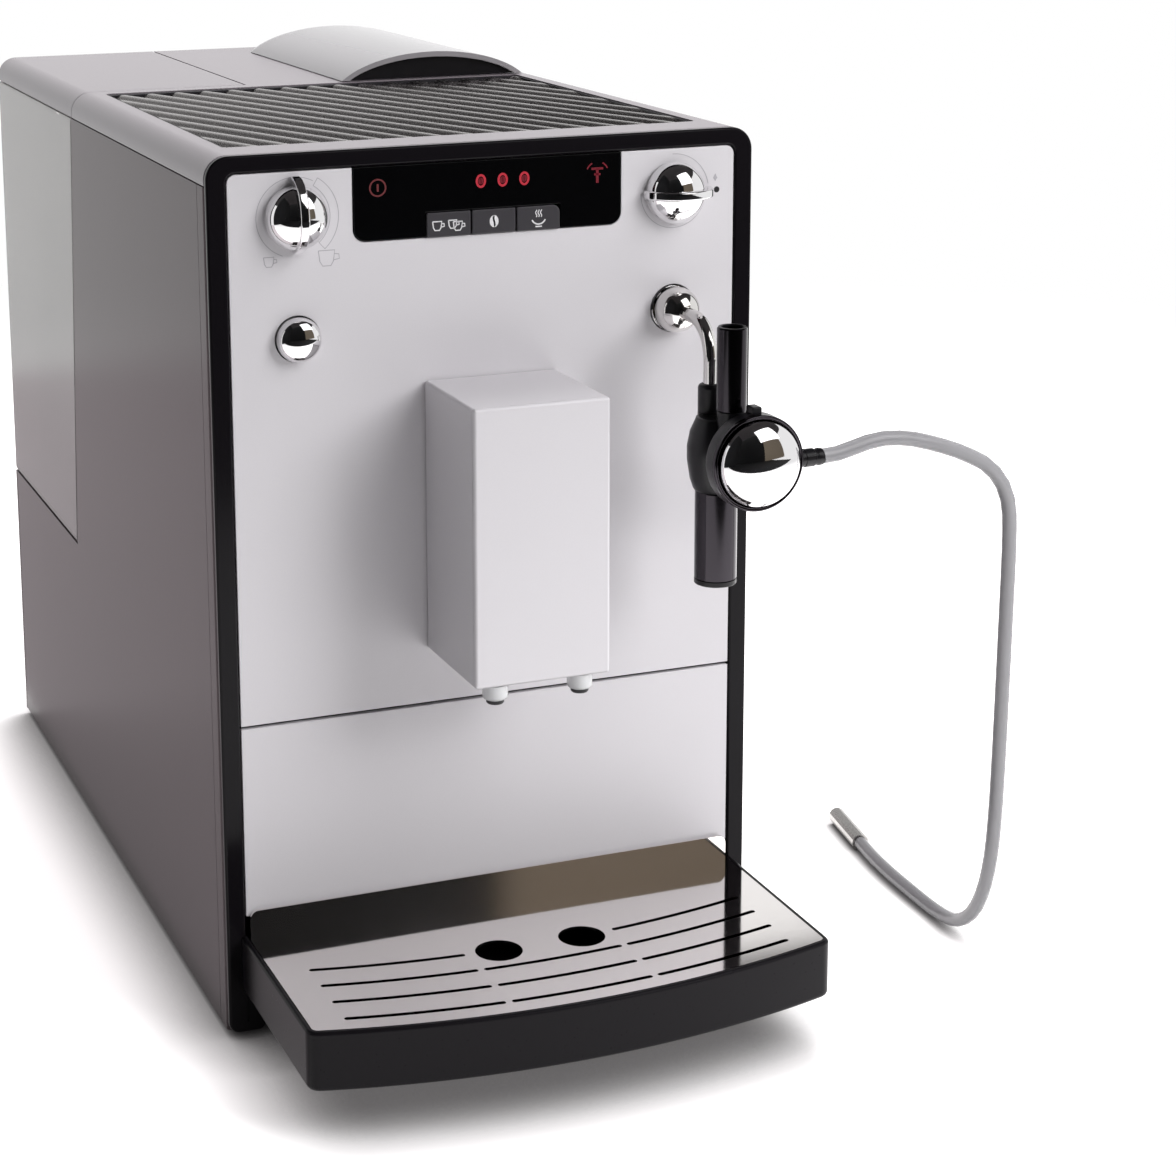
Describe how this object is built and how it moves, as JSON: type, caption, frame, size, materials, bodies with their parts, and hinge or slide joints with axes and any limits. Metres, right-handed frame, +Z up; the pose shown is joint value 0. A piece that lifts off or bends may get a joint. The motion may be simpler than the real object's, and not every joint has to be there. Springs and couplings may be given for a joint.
{
  "type": "bean to cup coffee machine",
  "caption": "Slim bean to cup coffee machine with height-adjustable spout, drip drawer, rear water tank, bean hopper, burr grinder, steam pipe and milk frother with hose.",
  "frame": {"origin": "on the table under the middle of the machine's bounding box, the free milk hose left out", "axes": "+X to the machine's right as its user sees it, +Y to the rear, +Z up"},
  "size_m": [0.2971, 0.455, 0.325],
  "materials": {
    "anthracite_abs": "glossy",
    "silver_front": "satin metallic paint",
    "black_gloss_abs": "piano black",
    "black_matt_pp": "fine texture",
    "chrome_plate": "mirror",
    "dark_chrome": "smoked mirror",
    "stainless_steel": "polished",
    "clear_san": "transparent",
    "smoked_san": "translucent",
    "black_rubber": "matt",
    "cast_aluminium": "as cast",
    "white_pom": "moulded",
    "green_fr4": "lacquered",
    "grey_silicone": "translucent"
  },
  "bodies": {
    "housing": {"base_pan": "black_matt_pp", "foot_front_left": "black_rubber", "foot_front_right": "black_rubber", "foot_rear_left": "black_rubber", "foot_rear_right": "black_rubber", "left_side_wall": "anthracite_abs", "right_side_wall": "anthracite_abs", "back_wall": "anthracite_abs", "mains_gland": "black_rubber", "top_cover": "anthracite_abs", "front_bezel": "black_gloss_abs", "upper_front_panel": "silver_front", "control_panel": "black_gloss_abs", "display_board": "green_fr4", "steam_socket": "chrome_plate", "spout_guide": "black_matt_pp", "tank_bay": "black_matt_pp", "bean_hopper": "smoked_san", "burr_carrier": "white_pom", "upper_burr": "stainless_steel", "grinder_motor": "cast_aluminium", "inner_chassis": "black_matt_pp", "brew_frame": "black_matt_pp", "brew_drive": "cast_aluminium", "water_pump": "cast_aluminium", "heater_block": "cast_aluminium", "steam_valve": "white_pom", "main_board": "green_fr4"},
    "cup_plate": {"cup_plate": "stainless_steel"},
    "service_cover": {"service_cover": "anthracite_abs"},
    "drawer": {"drip_tray": "black_matt_pp", "lower_front_panel": "silver_front", "grounds_container": "black_matt_pp"},
    "grate": {"drip_grate": "stainless_steel"},
    "tank": {"water_tank": "smoked_san", "tank_valve": "white_pom"},
    "tank_lid": {"water_tank_lid": "anthracite_abs"},
    "hopper_lid": {"hopper_lid": "clear_san"},
    "spout": {"spout_block": "silver_front", "nozzle_left": "clear_san", "nozzle_right": "clear_san"},
    "dose_knob": {"dose_knob": "chrome_plate"},
    "steam_knob": {"steam_knob": "chrome_plate"},
    "power_button": {"power_button": "chrome_plate"},
    "cup_key": {"cup_key": "black_matt_pp"},
    "strength_key": {"strength_key": "black_matt_pp"},
    "steam_key": {"steam_key": "black_matt_pp"},
    "frother": {"steam_pipe": "chrome_plate", "frother_body": "black_gloss_abs", "air_tube": "dark_chrome", "frother_sleeve": "dark_chrome", "dial_housing": "black_gloss_abs", "milk_hose": "grey_silicone", "hose_tip": "stainless_steel"},
    "milk_dial": {"milk_dial": "chrome_plate"},
    "lower_burr": {"lower_burr": "stainless_steel"},
    "brew_piston": {"brew_piston": "stainless_steel"}
  },
  "joints": [
    {"name": "spout_height", "type": "slide", "parent": "housing", "child": "spout", "axis": [0, 0, 1], "range_m": [-0.025, 0.045]},
    {"name": "drawer_slide", "type": "slide", "parent": "housing", "child": "drawer", "axis": [0, -1, 0], "range_m": [0, 0.15]},
    {"name": "grate_lift", "type": "slide", "parent": "drawer", "child": "grate", "axis": [0, 0, 1], "range_m": [0, 0.06]},
    {"name": "tank_lift", "type": "slide", "parent": "housing", "child": "tank", "axis": [0, 0, 1], "range_m": [0, 0.2]},
    {"name": "tank_lid_hinge", "type": "hinge", "parent": "tank", "child": "tank_lid", "pos_m": [-0.0638, 0.2275, 0.304], "axis": [-1, 0, 0], "range_deg": [0, 95]},
    {"name": "hopper_lid_lift", "type": "slide", "parent": "housing", "child": "hopper_lid", "axis": [0, 0, 1], "range_m": [0, 0.06]},
    {"name": "cup_plate_lift", "type": "slide", "parent": "housing", "child": "cup_plate", "axis": [0, 0, 1], "range_m": [0, 0.04]},
    {"name": "service_cover_slide", "type": "slide", "parent": "housing", "child": "service_cover", "axis": [1, 0, 0], "range_m": [0, 0.06]},
    {"name": "dose_knob_turn", "type": "hinge", "parent": "housing", "child": "dose_knob", "pos_m": [-0.0695, -0.1355, 0.2922], "axis": [0, -1, 0], "range_deg": [-135, 135]},
    {"name": "steam_knob_turn", "type": "hinge", "parent": "housing", "child": "steam_knob", "pos_m": [0.0695, -0.1355, 0.2922], "axis": [0, -1, 0], "range_deg": [0, 120]},
    {"name": "power_button_push", "type": "slide", "parent": "housing", "child": "power_button", "axis": [0, 1, 0], "range_m": [0, 0.0018], "stiffness_N_per_m": 600, "springref_m": -0.001},
    {"name": "cup_key_push", "type": "slide", "parent": "housing", "child": "cup_key", "axis": [0, 1, 0], "range_m": [0, 0.0008], "stiffness_N_per_m": 900, "springref_m": -0.001},
    {"name": "strength_key_push", "type": "slide", "parent": "housing", "child": "strength_key", "axis": [0, 1, 0], "range_m": [0, 0.0008], "stiffness_N_per_m": 900, "springref_m": -0.001},
    {"name": "steam_key_push", "type": "slide", "parent": "housing", "child": "steam_key", "axis": [0, 1, 0], "range_m": [0, 0.0008], "stiffness_N_per_m": 900, "springref_m": -0.001},
    {"name": "steam_pipe_swivel", "type": "hinge", "parent": "housing", "child": "frother", "pos_m": [0.0695, -0.1385, 0.2507], "axis": [0, 0, 1], "range_deg": [-20, 20]},
    {"name": "milk_dial_turn", "type": "hinge", "parent": "frother", "child": "milk_dial", "pos_m": [0.074, -0.1867, 0.2075], "axis": [0, -1, 0], "range_deg": [-60, 60]},
    {"name": "burr_spin", "type": "hinge", "parent": "housing", "child": "lower_burr", "pos_m": [0.052, 0.1265, 0.25], "axis": [0, 0, 1], "continuous": true},
    {"name": "piston_stroke", "type": "slide", "parent": "housing", "child": "brew_piston", "axis": [0, 0, 1], "range_m": [0, 0.022]}
  ]
}
